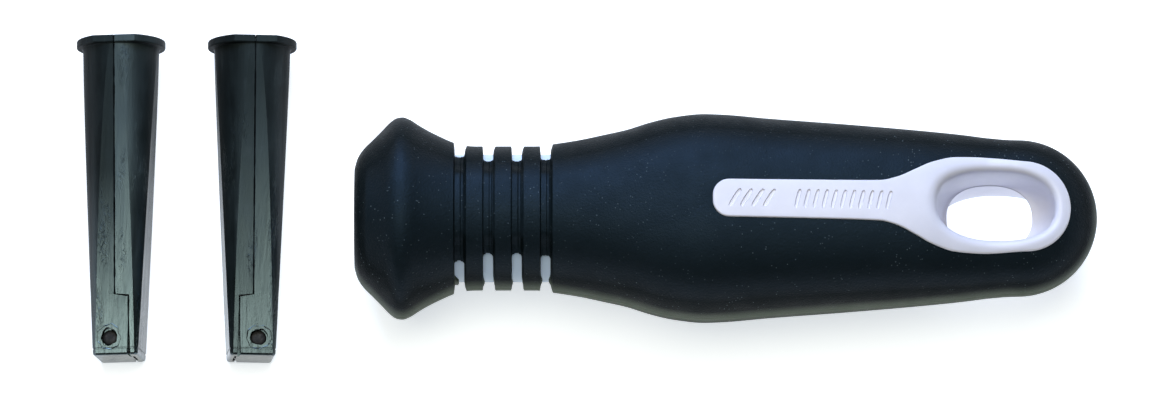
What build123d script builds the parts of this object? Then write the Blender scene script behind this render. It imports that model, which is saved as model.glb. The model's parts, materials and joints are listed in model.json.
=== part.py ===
from build123d import *
import math
import os

os.makedirs("parts", exist_ok=True)

# A file handle with two hinged tang inserts, laid out flat as a set. Millimetres.
# The handle lies along X with its socket mouth facing -X and its hang hole on the vertical.
# The inserts lie along Y in front of the mouth, each on its flange and its narrow end,
# and each leans a little to the side of its clevis half.
# The origin is under the middle of the set, on the surface that it lies on.

# Handle
handle_length = 127.0
collar_half_width = 17.5
collar_half_height = 15.3
neck_radius = 12.4
neck_step = 0.2
neck_start = 16.0
grip_end_radius = 13.4
grip_end_centre = handle_length - grip_end_radius - 0.2
grip_corner = 2.5
end_taper = 0.045
tip_start = 108.0
tip_start_half_height = 10.2
tip_thinning = 2.4
rubber_wall = 2.6
oval_points = 24

# Neck grooves, cut down to the core on the two sides only
groove_start = 18.0
groove_pitch = 4.9
groove_floor = 1.8
groove_mouth = 2.6
groove_depth = 0.9
groove_top_radius = 13.6
groove_front_draft = 0.1
groove_rear_draft = 0.6
groove_rear_lip = 0.3
window_angles = (37.0, 43.0, 43.0, 43.0)
window_overcut = 1.2
core_neck_radius = 10.9

# Core, strip and hang ring
core_front = 1.5
core_front_radius = 10.2
core_collar_radius = 12.4
core_collar_start = 4.6
core_collar_end = 9.5
core_neck_start = 13.0
neck_end = 33.0
core_length = 123.6
strip_start = 61.1
strip_half_width = 3.35
strip_corner = 2.8
strip_spread = 0.15
ring_flare_start = 89.8
ring_flare_middle = (96.8, 5.35)
ring_flare_end = (102.2, 8.2)
ring_shoulder = 106.2
ring_half_width = 8.45
ring_tip = 122.2
ring_tip_radius = 7.8
trim_rise = 0.25
hole_centre = 108.5
hole_waist = (14.4, 11.6)
hole_mouth = (21.2, 12.6)
hole_middle = (15.8, 11.8)
hole_middle_height = 5.0
hole_mouth_height = 10.6

# Inserts
insert_length = 55.4
insert_mouth_radius = 6.6
insert_end_radius = 5.2
insert_end_half = 3.93
flange_radius = 7.65
flange_thickness = 1.35
flange_flat = 6.72
seam_gap = 0.3
jog_height = 10.5
jog_slope = 0.35
block_reach = 2.4
hinge_height = 3.1
hinge_offset = 1.0
hinge_radius = 1.35
pin_half_length = 3.3
tongue_half = 1.5
tongue_radius = 2.1
tongue_swing = 0.3
tongue_root = 0.2
slot_depth = 42.0
# Tang slots: thickness and width at the mouth, then at the bottom
small_tang = (2.9, 7.4, 1.4, 3.2)
large_tang = (3.9, 9.6, 2.0, 4.2)

# Fits
socket_clearance = 0.10
socket_end_clearance = 0.6
flange_clearance = 0.20
pin_clearance = 0.06
press_clearance = 0.01
tongue_clearance = 0.12

# Layout of the set: the inserts' places from the nose and from the handle's axis, and their lean
small_insert_ahead = 40.4
large_insert_ahead = 17.85
insert_mouth_beside = 33.3
small_insert_lean = -9.5
large_insert_lean = 6.5


def rest_reach(flat, radius, lean):
    """How far down a round with a flat reaches below its middle when it leans over."""
    turn = math.radians(abs(lean))
    return flat * math.cos(turn) + math.sqrt(radius**2 - flat**2) * math.sin(turn)


def rest_angle(lean):
    """The insert's slope when its flange and its narrow end both touch the surface."""
    flange_reach = rest_reach(flange_flat, flange_radius, lean)
    end_reach = rest_reach(insert_end_half, insert_end_radius, lean)
    return math.atan((flange_reach - end_reach) / (insert_length - flange_thickness))


widest_slope = rest_angle(small_insert_lean)
insert_top = rest_reach(flange_flat, flange_radius, small_insert_lean) * math.sin(widest_slope)
insert_bottom = -(
    insert_length * math.cos(widest_slope)
    + rest_reach(insert_end_half, insert_end_radius, small_insert_lean) * math.sin(widest_slope)
)
set_length = handle_length + small_insert_ahead + flange_radius
nose_x = set_length / 2 - handle_length
axis_y = -insert_mouth_beside - (insert_top + insert_bottom) / 2
axis_z = collar_half_height


def cross_plane(x):
    """The plane square to the handle's axis, x behind the nose."""
    return Plane(origin=(nose_x + x, axis_y, axis_z), x_dir=(0, 1, 0), z_dir=(1, 0, 0))


def plan_plane():
    """The handle's mid-plane seen from above, measured from the nose."""
    return Plane(origin=(nose_x, axis_y, axis_z), x_dir=(1, 0, 0), z_dir=(0, 0, 1))


def axial_plane():
    """The upright plane through the handle's axis, for profiles turned about it."""
    return Plane(origin=(nose_x, axis_y, axis_z), x_dir=(1, 0, 0), z_dir=(0, -1, 0))


def handle_axis():
    return Axis((nose_x, axis_y, axis_z), (1, 0, 0))


def oval(x, half_width, half_height, corner):
    """A closed superellipse across the handle: corner 2 is an ellipse, and a higher one is squarer."""
    points = []
    for step in range(oval_points):
        angle = 2 * math.pi * step / oval_points
        c = math.cos(angle)
        s = math.sin(angle)
        y = half_width * math.copysign(abs(c) ** (2 / corner), c)
        z = half_height * math.copysign(abs(s) ** (2 / corner), s)
        points.append((y, z))
    with BuildSketch(cross_plane(x)) as section:
        with BuildLine():
            Spline(*points, periodic=True)
        make_face()
    return section.sketch


# Half-widths of the collar at distances behind the nose
collar_stations = (
    (0.0, 8.6),
    (0.8, 10.9),
    (2.0, 12.6),
    (4.6, 15.1),
    (6.4, 16.8),
    (8.2, 17.5),
    (9.6, 17.0),
    (12.1, 15.4),
    (14.6, 14.1),
    (17.2, 13.0),
    (19.0, 12.5),
)

# Half-width, half-height and squareness of the grip behind the neck
grip_stations = (
    (neck_end, neck_radius + neck_step, neck_radius + neck_step, 2.0),
    (38.2, 13.4, 12.9, 2.1),
    (46.4, 15.05, 13.9, 2.3),
    (53.0, 16.8, 14.7, 2.4),
    (59.7, 17.7, 15.0, 2.5),
    (71.0, 16.9, 14.4, 2.5),
    (83.3, 16.0, 13.6, 2.5),
    (95.7, 15.0, 12.4, 2.5),
    (103.5, 14.35, 11.0, 2.5),
)
tip_turns = (0, 18, 36, 52, 66, 77, 85)


def tip_x(turn):
    """How far behind the nose the end's round arc is, turn degrees round from its widest."""
    return tip_start + (handle_length - tip_start) * math.sin(math.radians(turn))


def tip_half_width(x):
    """The plan of the grip's end: a straight taper that runs into a round arc."""
    if x < grip_end_centre:
        return grip_end_radius + (grip_end_centre - x) * end_taper
    reach = (x - grip_end_centre) / (handle_length - grip_end_centre)
    return grip_end_radius * math.sqrt(1 - reach**2)


def tip_half_height(x):
    """The side of the grip's end: it thins, then rounds off at the tip."""
    reach = (x - tip_start) / (handle_length - tip_start)
    return tip_start_half_height * math.sqrt(1 - reach**tip_thinning)


def grip_outside(rise):
    """The outside of the grip behind the neck, made higher by rise."""
    body = []
    for x, half_width, half_height, corner in grip_stations:
        body.append(oval(x, half_width, half_height + rise, corner))
    tip = []
    for turn in tip_turns:
        x = tip_x(turn)
        tip.append(oval(x, tip_half_width(x), tip_half_height(x) + rise, grip_corner))
    body.append(tip[0])
    with BuildPart() as outside:
        loft(body)
        loft(tip)
    return outside.part


def grip_core():
    """The core inside the grip: the outside drawn in by the rubber's wall."""
    body = []
    for x, half_width, half_height, corner in grip_stations:
        core_width = max(half_width - rubber_wall, core_neck_radius - neck_step)
        core_height = max(half_height - rubber_wall, core_neck_radius - neck_step)
        body.append(oval(x, core_width, core_height, corner))
    tip = []
    shortening = (core_length - tip_start) / (handle_length - tip_start)
    for turn in tip_turns:
        x = tip_x(turn)
        core_x = tip_start + (x - tip_start) * shortening
        core_width = tip_half_width(x) * (1 - rubber_wall / grip_end_radius)
        core_height = tip_half_height(x) * (1 - rubber_wall / tip_start_half_height)
        tip.append(oval(core_x, core_width, core_height, grip_corner))
    body.append(tip[0])
    with BuildPart() as core:
        loft(body)
        loft(tip)
    return core.part


def collar_half_height_at(half_width):
    """The collar is round where it meets the neck and oval at its rim."""
    flattening = (collar_half_width - collar_half_height) / (collar_half_width - neck_radius)
    return half_width - max(0.0, half_width - neck_radius) * flattening


def collar_sections():
    sections = []
    for x, half_width in collar_stations:
        sections.append(oval(x, half_width, collar_half_height_at(half_width), 2.0))
    return sections


def insert_body(plane, growth, length):
    """A round taper trimmed by a square taper, from its wide end on plane, grown all round."""
    full = length / insert_length
    end_radius = insert_mouth_radius + (insert_end_radius - insert_mouth_radius) * full
    end_half = insert_mouth_radius + (insert_end_half - insert_mouth_radius) * full
    mouth_size = 2 * (insert_mouth_radius + growth)
    end_size = 2 * (end_half + growth)
    with BuildPart() as body:
        with BuildSketch(plane):
            Circle(insert_mouth_radius + growth)
        with BuildSketch(plane.offset(length)):
            Circle(end_radius + growth)
        loft()
        with BuildSketch(plane) as wide:
            Rectangle(mouth_size, mouth_size)
        with BuildSketch(plane.offset(length)) as narrow:
            Rectangle(end_size, end_size)
        loft([wide.sketch, narrow.sketch], mode=Mode.INTERSECT)
    return body.part


# The whole outside of the handle, as one blank
with BuildPart() as handle_blank:
    loft(collar_sections())
    with BuildSketch(cross_plane(neck_start)):
        Circle(neck_radius)
    extrude(amount=neck_end - neck_start)
    add(grip_outside(0.0))

# The strip and the hang ring in plan, carried up and down to just proud of the rubber
with BuildPart() as trim_blank:
    with BuildSketch(plan_plane()) as trim_outline:
        with BuildLine():
            start = Line((strip_start, 0), (strip_start, strip_half_width))
            edge = Line(start @ 1, (ring_flare_start, strip_half_width + strip_spread))
            flare = Spline(
                edge @ 1,
                ring_flare_middle,
                ring_flare_end,
                (ring_shoulder, ring_half_width),
                tangents=(edge % 1, (1, 0)),
            )
            rim = Line(flare @ 1, (ring_tip - ring_tip_radius, ring_tip_radius))
            RadiusArc(rim @ 1, (ring_tip, 0), ring_tip_radius)
            mirror(about=Plane.XZ)
        make_face()
        fillet(trim_outline.vertices().sort_by(Axis.X)[0:2], radius=strip_corner)
    extrude(amount=collar_half_height, both=True)
    add(grip_outside(trim_rise), mode=Mode.INTERSECT)

# The core before its socket and hang hole are opened
with BuildPart() as core_blank:
    with BuildSketch(axial_plane()):
        with BuildLine():
            Polyline(
                (core_front, 0),
                (core_front, core_front_radius),
                (core_collar_start, core_collar_radius),
                (core_collar_end, core_collar_radius),
                (core_neck_start, core_neck_radius),
                (neck_end, core_neck_radius),
                (neck_end, 0),
                close=True,
            )
        make_face()
    revolve(axis=handle_axis())
    add(grip_core())
    add(trim_blank.part)


def hole_outline(height, size):
    """The hang hole's outline at a height above the mid-plane: long sides straight, ends round."""
    with BuildSketch(plan_plane().offset(height)) as outline:
        with Locations((hole_centre, 0)):
            SlotOverall(size[0], size[1])
    return outline.sketch


# The hang hole narrows from each face to a waist on the mid-plane
with BuildPart() as hang_hole:
    for side in (1, -1):
        loft(
            [
                hole_outline(0, hole_waist),
                hole_outline(side * hole_middle_height, hole_middle),
                hole_outline(side * hole_mouth_height, hole_mouth),
            ]
        )


def groove_profile(centre, floor_radius):
    """One groove's section: a steep wall towards the collar and a sloped one behind."""
    with BuildSketch(axial_plane()) as profile:
        with BuildLine():
            Polyline(
                (centre - groove_floor / 2, floor_radius),
                (centre - groove_floor / 2 - groove_front_draft, groove_top_radius),
                (centre + groove_mouth / 2 + groove_rear_draft, groove_top_radius),
                (centre + groove_floor / 2, floor_radius + groove_rear_lip),
                (centre + groove_floor / 2, floor_radius),
                close=True,
            )
        make_face()
    return profile.sketch


def side_window(centre, half_angle):
    """Cuts a groove down to the core, on each side of the handle, to half_angle above and below."""
    reach = 2 * neck_radius
    rise = reach * math.tan(math.radians(half_angle))
    with BuildPart() as window:
        revolve(groove_profile(centre, core_neck_radius - window_overcut), axis=handle_axis())
        with BuildSketch(cross_plane(centre - groove_mouth)):
            for side in (1, -1):
                with BuildLine():
                    Polyline((0, 0), (side * reach, rise), (side * reach, -rise), close=True)
                make_face()
        extrude(amount=2 * groove_mouth, mode=Mode.INTERSECT)
    return window.part


# The over-mould: the outside, grooved and windowed, less the core that it wraps
with BuildPart() as rubber_grip:
    add(handle_blank.part)
    for index, half_angle in enumerate(window_angles):
        centre = groove_start + index * groove_pitch
        revolve(
            groove_profile(centre, neck_radius - groove_depth),
            axis=handle_axis(),
            mode=Mode.SUBTRACT,
        )
        add(side_window(centre, half_angle), mode=Mode.SUBTRACT)
    add(core_blank.part, mode=Mode.SUBTRACT)
    with BuildSketch(cross_plane(0)):
        Circle(flange_radius + flange_clearance)
    extrude(amount=core_front, mode=Mode.SUBTRACT)

with BuildPart() as open_core:
    add(core_blank.part)
    add(hang_hole.part, mode=Mode.SUBTRACT)
    add(
        insert_body(cross_plane(0), socket_clearance, insert_length + socket_end_clearance),
        mode=Mode.SUBTRACT,
    )

with BuildPart() as core_upper_half:
    add(open_core.part)
    split(bisect_by=plan_plane(), keep=Keep.TOP)

with BuildPart() as core_lower_half:
    add(open_core.part)
    split(bisect_by=plan_plane(), keep=Keep.BOTTOM)


def insert_plane(ahead, lean):
    """The flange's outer face, ahead of the nose, looking along the insert to its narrow end."""
    slope = rest_angle(lean)
    turn = math.radians(lean)
    flange_reach = rest_reach(flange_flat, flange_radius, lean)
    mouth_z = flange_thickness * math.sin(slope) + flange_reach * math.cos(slope)
    return Plane(
        origin=(nose_x - ahead, axis_y + insert_mouth_beside, mouth_z),
        x_dir=(math.cos(turn), math.sin(slope) * math.sin(turn), -math.cos(slope) * math.sin(turn)),
        z_dir=(0, -math.cos(slope), -math.sin(slope)),
    )


def seam_plane(face):
    """The insert's middle plane seen from above: x across the seam, y towards the narrow end."""
    return Plane(origin=face.origin, x_dir=face.x_dir, z_dir=-face.y_dir)


def whole_insert(face, tang):
    """An insert before it is parted: tapered body, flange with two flats, and tang slot."""
    with BuildPart() as insert:
        add(insert_body(face, 0, insert_length))
        with BuildSketch(face):
            Circle(flange_radius)
            Rectangle(3 * flange_radius, 2 * flange_flat, mode=Mode.INTERSECT)
        extrude(amount=flange_thickness)
        with BuildSketch(face):
            Rectangle(tang[0], tang[1])
        with BuildSketch(face.offset(slot_depth)):
            Rectangle(tang[2], tang[3])
        loft(mode=Mode.SUBTRACT)
    return insert.part


def seam_side(face, side, gap):
    """Everything on the tongue half's side of the seam, which jogs round the clevis half's block."""
    outer = side * 2 * flange_radius
    jog = insert_length - jog_height
    with BuildPart() as region:
        with BuildSketch(seam_plane(face)):
            with BuildLine():
                Polyline(
                    (side * gap, -1),
                    (side * gap, jog - gap),
                    (side * (block_reach + gap), jog + jog_slope - gap),
                    (side * (block_reach + gap), insert_length + 1),
                    (outer, insert_length + 1),
                    (outer, -1),
                    close=True,
                )
            make_face()
        extrude(amount=2 * flange_radius, both=True)
    return region.part


def tongue_shape(face, side, clearance, swing):
    """The hinge tongue: an eye round the pin and a bar out to the tongue half's side strip."""
    hinge_y = insert_length - hinge_height
    reach = block_reach + seam_gap + tongue_root + hinge_offset
    with BuildPart() as tongue:
        with BuildSketch(seam_plane(face)):
            with Locations((-side * hinge_offset, hinge_y)):
                Circle(tongue_radius + clearance)
            with Locations((side * (reach / 2 - hinge_offset), hinge_y + swing / 2)):
                Rectangle(reach, 2 * (tongue_radius + clearance) + swing)
        extrude(amount=tongue_half + clearance, both=True)
    return tongue.part


def hinge_rod(face, side, radius, half_length):
    """A round rod on the hinge's axis."""
    with BuildPart() as rod:
        with BuildSketch(seam_plane(face)):
            with Locations((-side * hinge_offset, insert_length - hinge_height)):
                Circle(radius)
        extrude(amount=half_length, both=True)
    return rod.part


def make_insert(name, ahead, lean, side, tang):
    """One tang insert as three pieces; side is 1 where the tongue half is on the +X side."""
    face = insert_plane(ahead, lean)
    body = whole_insert(face, tang)

    with BuildPart() as tongue_piece:
        add(body)
        add(seam_side(face, side, seam_gap / 2), mode=Mode.INTERSECT)
        add(tongue_shape(face, side, 0, 0))
        add(
            hinge_rod(face, side, hinge_radius + pin_clearance, flange_radius),
            mode=Mode.SUBTRACT,
        )
    tongue_piece.part.label = name + "_tongue_half"
    export_step(tongue_piece.part, "parts/" + name + "_tongue_half.step")

    with BuildPart() as clevis_piece:
        add(body)
        add(seam_side(face, side, -seam_gap / 2), mode=Mode.SUBTRACT)
        add(tongue_shape(face, side, tongue_clearance, tongue_swing), mode=Mode.SUBTRACT)
        add(
            hinge_rod(face, side, hinge_radius + press_clearance, flange_radius),
            mode=Mode.SUBTRACT,
        )
    clevis_piece.part.label = name + "_clevis_half"
    export_step(clevis_piece.part, "parts/" + name + "_clevis_half.step")

    with BuildPart() as pin_piece:
        add(hinge_rod(face, side, hinge_radius, pin_half_length))
    pin_piece.part.label = name + "_hinge_pin"
    export_step(pin_piece.part, "parts/" + name + "_hinge_pin.step")


rubber_grip.part.label = "rubber_grip"
export_step(rubber_grip.part, "parts/rubber_grip.step")
core_upper_half.part.label = "core_upper_half"
export_step(core_upper_half.part, "parts/core_upper_half.step")
core_lower_half.part.label = "core_lower_half"
export_step(core_lower_half.part, "parts/core_lower_half.step")
make_insert("small_insert", small_insert_ahead, small_insert_lean, 1, small_tang)
make_insert("large_insert", large_insert_ahead, large_insert_lean, -1, large_tang)
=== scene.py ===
import json
import math
import random

import bmesh
import bpy
import numpy as np
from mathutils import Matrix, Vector
from mathutils.geometry import delaunay_2d_cdt


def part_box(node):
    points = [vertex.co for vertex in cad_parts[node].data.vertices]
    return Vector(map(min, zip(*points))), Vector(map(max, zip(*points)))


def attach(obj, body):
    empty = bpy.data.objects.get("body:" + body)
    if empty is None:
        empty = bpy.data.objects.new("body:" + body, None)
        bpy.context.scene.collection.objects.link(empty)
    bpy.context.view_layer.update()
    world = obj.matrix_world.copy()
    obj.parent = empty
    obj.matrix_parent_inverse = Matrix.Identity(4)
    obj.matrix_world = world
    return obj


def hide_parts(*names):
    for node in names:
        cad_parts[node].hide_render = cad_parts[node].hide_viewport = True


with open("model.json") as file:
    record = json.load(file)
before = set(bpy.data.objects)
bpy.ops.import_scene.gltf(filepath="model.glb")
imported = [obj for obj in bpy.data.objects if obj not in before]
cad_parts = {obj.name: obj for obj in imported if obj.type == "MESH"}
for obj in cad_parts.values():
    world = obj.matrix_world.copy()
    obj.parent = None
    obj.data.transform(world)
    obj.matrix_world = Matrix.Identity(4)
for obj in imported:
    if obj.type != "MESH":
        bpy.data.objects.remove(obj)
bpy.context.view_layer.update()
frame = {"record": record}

# A soft-grip file handle lying beside its two hinged tang inserts.
# Shapes are worked out in millimetres from the handle's nose or an insert's flange,
# and placed where the frame's own nodes and hinges are.
MM = 0.001

# ---------------------------------------------------------------- the frame's places

grip_low, grip_high = (np.array(corner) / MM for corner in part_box("rubber_grip"))
NOSE = np.array([grip_low[0], (grip_low[1] + grip_high[1]) / 2, (grip_low[2] + grip_high[2]) / 2])
HANDLE_LENGTH = grip_high[0] - grip_low[0]
JOINTS = {joint["name"]: joint for joint in frame["record"]["behaviour"]["joints"]}


def handle_to_world(points):
    """Millimetres from the nose, on the handle's axis, to metres in the frame."""
    return (np.asarray(points, dtype=float) + NOSE) * MM


# ---------------------------------------------------------------- small mesh helpers


def smooth_curve(stations):
    """A function through (x, value) stations that never overshoots between them."""
    xs = np.array([s[0] for s in stations], dtype=float)
    ys = np.array([s[1] for s in stations], dtype=float)
    steps = np.diff(xs)
    slopes = np.diff(ys) / steps
    tangents = np.zeros(len(xs))
    for i in range(1, len(xs) - 1):
        if slopes[i - 1] * slopes[i] > 0:
            tangents[i] = 2 / (1 / slopes[i - 1] + 1 / slopes[i])
    tangents[0] = slopes[0]
    tangents[-1] = slopes[-1]

    def value(x):
        x = np.clip(np.asarray(x, dtype=float), xs[0], xs[-1])
        i = np.clip(np.searchsorted(xs, x) - 1, 0, len(xs) - 2)
        t = (x - xs[i]) / steps[i]
        return (
            (2 * t**3 - 3 * t**2 + 1) * ys[i]
            + (t**3 - 2 * t**2 + t) * steps[i] * tangents[i]
            + (-2 * t**3 + 3 * t**2) * ys[i + 1]
            + (t**3 - t**2) * steps[i] * tangents[i + 1]
        )

    return value


def smoothstep(low, high, value):
    t = np.clip((value - low) / (high - low), 0.0, 1.0)
    return t * t * (3 - 2 * t)


def superellipse(half_a, half_b, corner, angles):
    """Points on a closed superellipse; corner 2 is an ellipse, and higher is squarer."""
    c = np.cos(angles)
    s = np.sin(angles)
    return np.stack(
        [
            half_a * np.sign(c) * np.abs(c) ** (2 / corner),
            half_b * np.sign(s) * np.abs(s) ** (2 / corner),
        ],
        axis=-1,
    )


def new_object(name, vertices, faces):
    """A mesh object in metres."""
    mesh = bpy.data.meshes.new(name)
    mesh.from_pydata([tuple(v) for v in vertices], [], [tuple(f) for f in faces])
    mesh.validate()
    piece = bpy.data.objects.new(name, mesh)
    bpy.context.scene.collection.objects.link(piece)
    return piece


def loft_faces(rows, columns):
    """Quads between successive rows of points, each row closed on itself."""
    faces = []
    for row in range(rows - 1):
        a = row * columns
        b = a + columns
        for c in range(columns):
            d = (c + 1) % columns
            faces.append((a + c, a + d, b + d, b + c))
    return faces


def capped_faces(rows, columns):
    """Quads between successive closed rows, with a cap on the first row and one on the last."""
    last = (rows - 1) * columns
    caps = [tuple(range(columns)), tuple(range(last, last + columns))]
    return loft_faces(rows, columns) + caps


def recalculate(piece, sharp_angle):
    """Makes every face look outwards, shaded smooth except across edges sharper than sharp_angle."""
    bm = bmesh.new()
    bm.from_mesh(piece.data)
    bmesh.ops.remove_doubles(bm, verts=bm.verts, dist=1e-7)
    bmesh.ops.dissolve_degenerate(bm, edges=bm.edges, dist=1e-7)
    bmesh.ops.recalc_face_normals(bm, faces=bm.faces)
    bm.to_mesh(piece.data)
    bm.free()
    piece.data.shade_smooth()
    piece.data.set_sharp_from_angle(angle=math.radians(sharp_angle))


def closed_object(name, vertices, faces, sharp_angle):
    """A closed mesh in metres with its faces looking outwards."""
    piece = new_object(name, vertices, faces)
    recalculate(piece, sharp_angle)
    return piece


def join(name, pieces):
    """Several objects' meshes as one object."""
    bm = bmesh.new()
    for piece in pieces:
        bm.from_mesh(piece.data)
    mesh = bpy.data.meshes.new(name)
    bm.to_mesh(mesh)
    bm.free()
    for piece in pieces:
        bpy.data.objects.remove(piece)
    whole = bpy.data.objects.new(name, mesh)
    bpy.context.scene.collection.objects.link(whole)
    return whole


def apply_modifiers(piece):
    """Bakes an object's modifiers into its mesh."""
    depsgraph = bpy.context.evaluated_depsgraph_get()
    mesh = bpy.data.meshes.new_from_object(piece.evaluated_get(depsgraph))
    piece.modifiers.clear()
    piece.data = mesh


def cut(piece, cutter, operation="DIFFERENCE"):
    """Cuts one closed mesh by another, and removes the cutter."""
    boolean = piece.modifiers.new("cut", "BOOLEAN")
    boolean.operation = operation
    boolean.solver = "EXACT"
    boolean.object = cutter
    apply_modifiers(piece)
    bpy.data.objects.remove(cutter)


# ---------------------------------------------------------------- the handle's outside

COLLAR_WIDTH = 17.5
COLLAR_HEIGHT = 15.3
COLLAR_END = 19.0
NECK_RADIUS = 12.4
NECK_END = 33.0
CORE_NECK_RADIUS = 10.9
TIP_START = 108.0
TIP_TAPER = 0.062
TIP_HEIGHT = 10.2
TIP_RADIUS = 13.4
TIP_CENTRE = HANDLE_LENGTH - TIP_RADIUS
RECESS_RADIUS = 7.85
RECESS_DEPTH = 1.5
GROOVES = [17.95 + 4.9 * i for i in range(4)]
WINDOW_ANGLES = (36.0, 44.0, 44.0, 42.0)

width_stations = (
    (0.0, 8.6), (0.35, 9.9), (0.8, 10.9), (1.66, 12.05), (3.0, 13.4), (4.6, 15.05), (6.2, 16.7),
    (7.2, 17.35), (8.2, COLLAR_WIDTH), (9.4, 17.1), (10.8, 16.2), (12.1, 15.4), (14.6, 14.1), (17.1, 13.0),
    (COLLAR_END, 12.5), (21.0, NECK_RADIUS), (31.0, NECK_RADIUS), (34.1, 12.8), (38.2, 13.4),
    (42.3, 14.2), (46.4, 15.05), (50.5, 16.3), (54.6, 17.2), (59.7, 17.7), (62.8, 17.6),
    (71.0, 16.9), (83.3, 16.0), (95.7, 15.0), (103.5, 14.3), (TIP_START, 13.75),
)
height_stations = (
    (COLLAR_END, 12.5), (21.0, NECK_RADIUS), (31.0, NECK_RADIUS), (38.2, 12.9), (46.4, 13.9), (53.0, 14.7),
    (59.7, 15.0), (71.0, 14.4), (83.3, 13.6), (95.7, 12.4), (103.5, 11.0), (TIP_START, TIP_HEIGHT),
)
corner_stations = (
    (0.0, 2.0), (31.0, 2.0), (38.2, 2.1), (46.4, 2.3), (59.7, 2.5), (HANDLE_LENGTH, 2.5),
)
body_width = smooth_curve(width_stations)
body_height = smooth_curve(height_stations)
body_corner = smooth_curve(corner_stations)


def half_width(x):
    """The handle's half-width: collar, neck, swelling grip, then a round arc at the end."""
    reach = np.clip((x - TIP_CENTRE) / TIP_RADIUS, 0.0, 1.0)
    arc = TIP_RADIUS * np.sqrt(np.clip(1 - reach**2, 0.0, 1.0))
    blend = smoothstep(TIP_START, TIP_CENTRE, x)
    body = body_width(np.minimum(x, TIP_START))
    taper = body - np.maximum(x - TIP_START, 0) * TIP_TAPER
    return np.where(x < TIP_START, body, taper * (1 - blend) + arc * blend)


def half_height(x):
    """The handle's half-height: an oval collar, a round neck, then the grip thinning to its tip."""
    wide = half_width(x)
    flattening = (COLLAR_WIDTH - COLLAR_HEIGHT) / (COLLAR_WIDTH - NECK_RADIUS)
    collar = wide - np.maximum(0.0, wide - NECK_RADIUS) * flattening
    reach = np.clip((x - TIP_START) / (HANDLE_LENGTH - TIP_START), 0.0, 1.0)
    tip = TIP_HEIGHT * np.sqrt(np.clip(1 - reach**2.4, 0.0, 1.0))
    grip = np.where(x > TIP_START, tip, body_height(x))
    return np.where(x < COLLAR_END, collar, grip)


def top_height(x, y):
    """How far above the axis the outside is at a place in plan."""
    corner = body_corner(x)
    inside = 1 - (np.abs(y) / half_width(x)) ** corner
    return half_height(x) * np.clip(inside, 0.0, 1.0) ** (1 / corner)


# ---------------------------------------------------------------- the rubber over-mould

GROOVE_HALF = 0.86
GROOVE_DEPTH = 0.95
TOP_GROOVE_DEPTH = 0.26
WINDOW_HALF_WIDTH = 0.84
WINDOW_DEPTH = 2.1
LEDGE_DEPTH = 0.15
SKIN_THICKNESS = 1.0
PARTING_RIDGE = 0.07
FINE_START = 16.4
FINE_END = 36.0


def groove_wall(x, centre):
    """0 on the lands, 1 on a groove's floor: steep towards the collar, sloped behind."""
    front = smoothstep(centre - GROOVE_HALF - 0.12, centre - GROOVE_HALF + 0.1, x)
    back = 1 - np.clip((x - centre - GROOVE_HALF + 0.05) / 0.4, 0.0, 1.0)
    return front * back


def inner_groove(x, centre):
    """The narrow second step that runs along a groove's floor."""
    return smoothstep(centre + 0.16, centre + 0.26, x) * (
        1 - smoothstep(centre + 0.62, centre + 0.72, x)
    )


def window_distance(x, elevation, index, near_side):
    """How far outside a round-ended window a place is; the windows show the core on both sides."""
    along = np.degrees(elevation)
    reach = WINDOW_ANGLES[index] - math.degrees(WINDOW_HALF_WIDTH / CORE_NECK_RADIUS)
    past = np.radians(np.maximum(np.abs(along) - reach, 0.0)) * CORE_NECK_RADIUS
    offset = x - GROOVES[index]
    narrowing = np.zeros_like(along)
    # The near side's rubber has crept unevenly over its windows' low ends
    if near_side and index == 0:
        narrowing = 0.75 * smoothstep(16, 2, along) * (offset < 0.15)
    if near_side and index == 3:
        narrowing = 0.32 * np.exp(-(((along - 2) / 9.0) ** 2))
    if near_side and index == 1:
        offset = offset - 0.25 * smoothstep(16, -4, along)
    if near_side and index == 2:
        offset = offset - 0.18 * smoothstep(12, -4, along)
    return np.hypot(offset, past) - (WINDOW_HALF_WIDTH - narrowing)


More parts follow.
